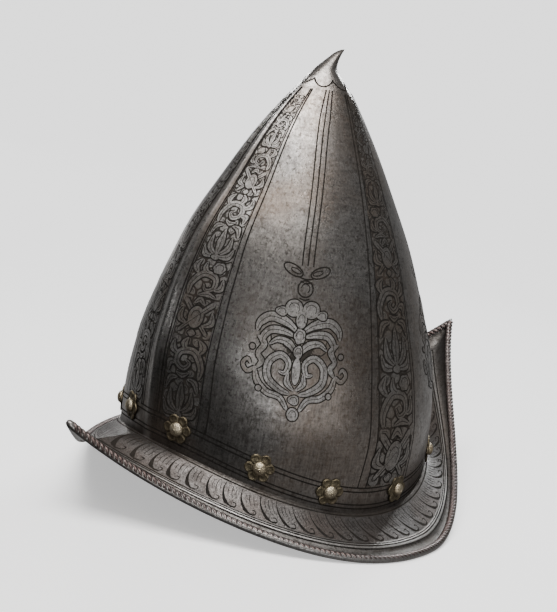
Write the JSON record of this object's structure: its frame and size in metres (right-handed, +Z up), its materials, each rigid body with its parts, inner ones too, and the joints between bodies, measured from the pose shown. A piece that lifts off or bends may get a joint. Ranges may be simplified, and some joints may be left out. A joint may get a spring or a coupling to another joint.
{
  "type": "morion helmet",
  "caption": "Steel Spanish morion with a tall keeled skull, bent stalk, boat-shaped brim drawn to points, turned edge and riveted brass rosettes; open below for the head.",
  "frame": {"origin": "on the surface that the helmet stands on, under the middle of its bounding box", "axes": "+X to the front tip of the brim, +Y to the wearer's left, +Z up to the stalk"},
  "size_m": [0.3386, 0.2604, 0.2801],
  "materials": {
    "steel_plate": "patinated, pitted and engraved",
    "brass_rosette": "dull old brass",
    "rivet_brass": "worn, lightly polished"
  },
  "bodies": {
    "root": {"helmet_shell": "steel_plate", "rivet_01": "rivet_brass", "rivet_02": "rivet_brass", "rivet_03": "rivet_brass", "rivet_04": "rivet_brass", "rivet_05": "rivet_brass", "rivet_06": "rivet_brass", "rivet_07": "rivet_brass", "rivet_08": "rivet_brass", "rivet_09": "rivet_brass", "rivet_10": "rivet_brass", "rivet_11": "rivet_brass", "rivet_12": "rivet_brass", "rosette_01": "brass_rosette", "rosette_02": "brass_rosette", "rosette_03": "brass_rosette", "rosette_04": "brass_rosette", "rosette_05": "brass_rosette", "rosette_06": "brass_rosette", "rosette_07": "brass_rosette", "rosette_08": "brass_rosette", "rosette_09": "brass_rosette", "rosette_10": "brass_rosette", "rosette_11": "brass_rosette", "rosette_12": "brass_rosette"}
  },
  "joints": []
}
